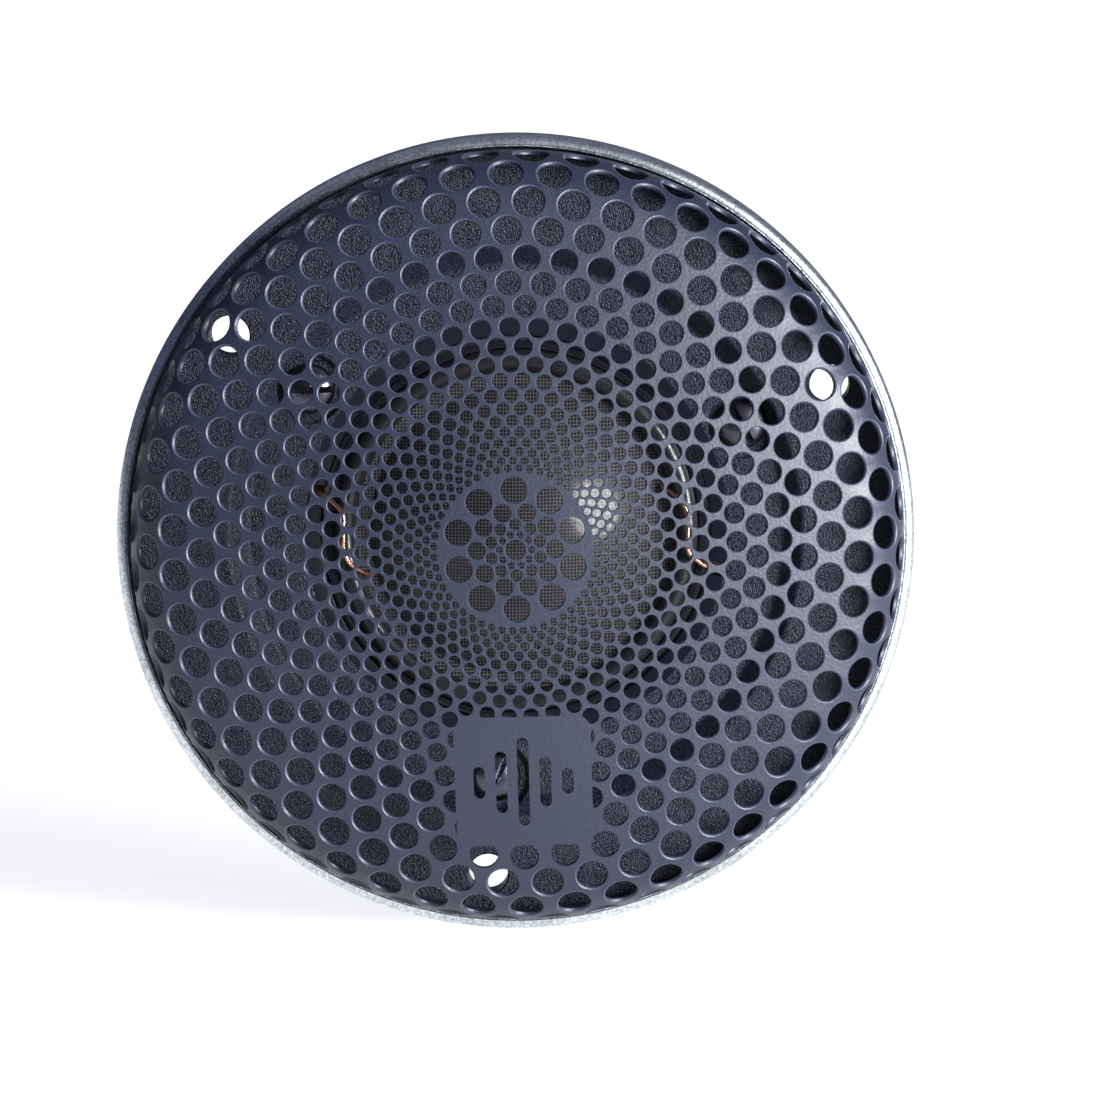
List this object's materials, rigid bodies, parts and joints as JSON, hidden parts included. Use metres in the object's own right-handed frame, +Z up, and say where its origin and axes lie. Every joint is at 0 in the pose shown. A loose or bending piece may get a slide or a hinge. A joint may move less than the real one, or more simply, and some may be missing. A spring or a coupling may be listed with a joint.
{
  "type": "car tweeter",
  "caption": "Dome tweeter for a car with a domed pierced metal grille, a bright rim ring, a soft fabric dome and a compact magnet system behind a round mounting flange.",
  "frame": {"origin": "on the tweeter's axis, in the rear plane of the mounting flange", "axes": "+Y along the axis towards the magnet, so the dome faces -Y; +Z up, with one mounting hole lowest"},
  "size_m": [0.076, 0.0445, 0.076],
  "materials": {
    "grille_coat": "satin blue-grey powder coat on pierced sheet",
    "rim_metal": "fine turned, bright",
    "black_plastic": "fine moulded grain",
    "gloss_plastic": "polished",
    "surround_fabric": "doped cloth, semi gloss",
    "dome_fabric": "woven cloth with a clear doping",
    "former_film": "amber film",
    "copper": "bright copper",
    "brass": "stamped, tinned tips",
    "screw_steel": "bright plated",
    "zinc_steel": "clear zinc plated",
    "magnet": "ground ferrite",
    "felt": "pressed felt and open foam"
  },
  "bodies": {
    "frame": {"rim_ring": "rim_metal", "face_plate": "black_plastic", "diaphragm_ring": "gloss_plastic", "surround": "surround_fabric", "lead_left": "copper", "lead_right": "copper", "contact_left": "brass", "contact_right": "brass", "face_screw_1": "screw_steel", "face_screw_2": "screw_steel", "face_screw_3": "screw_steel", "top_plate": "zinc_steel", "magnet": "magnet", "pole_yoke": "zinc_steel", "shorting_cap": "copper", "pole_felt": "felt", "rear_cup": "black_plastic", "rear_foam": "felt", "cup_screw_1": "screw_steel", "cup_screw_2": "screw_steel", "cup_screw_3": "screw_steel"},
    "diaphragm": {"dome": "dome_fabric", "coil_former": "former_film", "coil_winding": "copper"},
    "grille": {"grille": "grille_coat"}
  },
  "joints": [
    {"name": "diaphragm_travel", "type": "slide", "parent": "frame", "child": "diaphragm", "axis": [0, -1, 0], "range_m": [-0.0005, 0.0005], "stiffness_N_per_m": 1500, "deforming": ["surround", "lead_left", "lead_right"]},
    {"name": "grille_pull", "type": "slide", "parent": "frame", "child": "grille", "axis": [0, -1, 0], "range_m": [0, 0.025]}
  ]
}
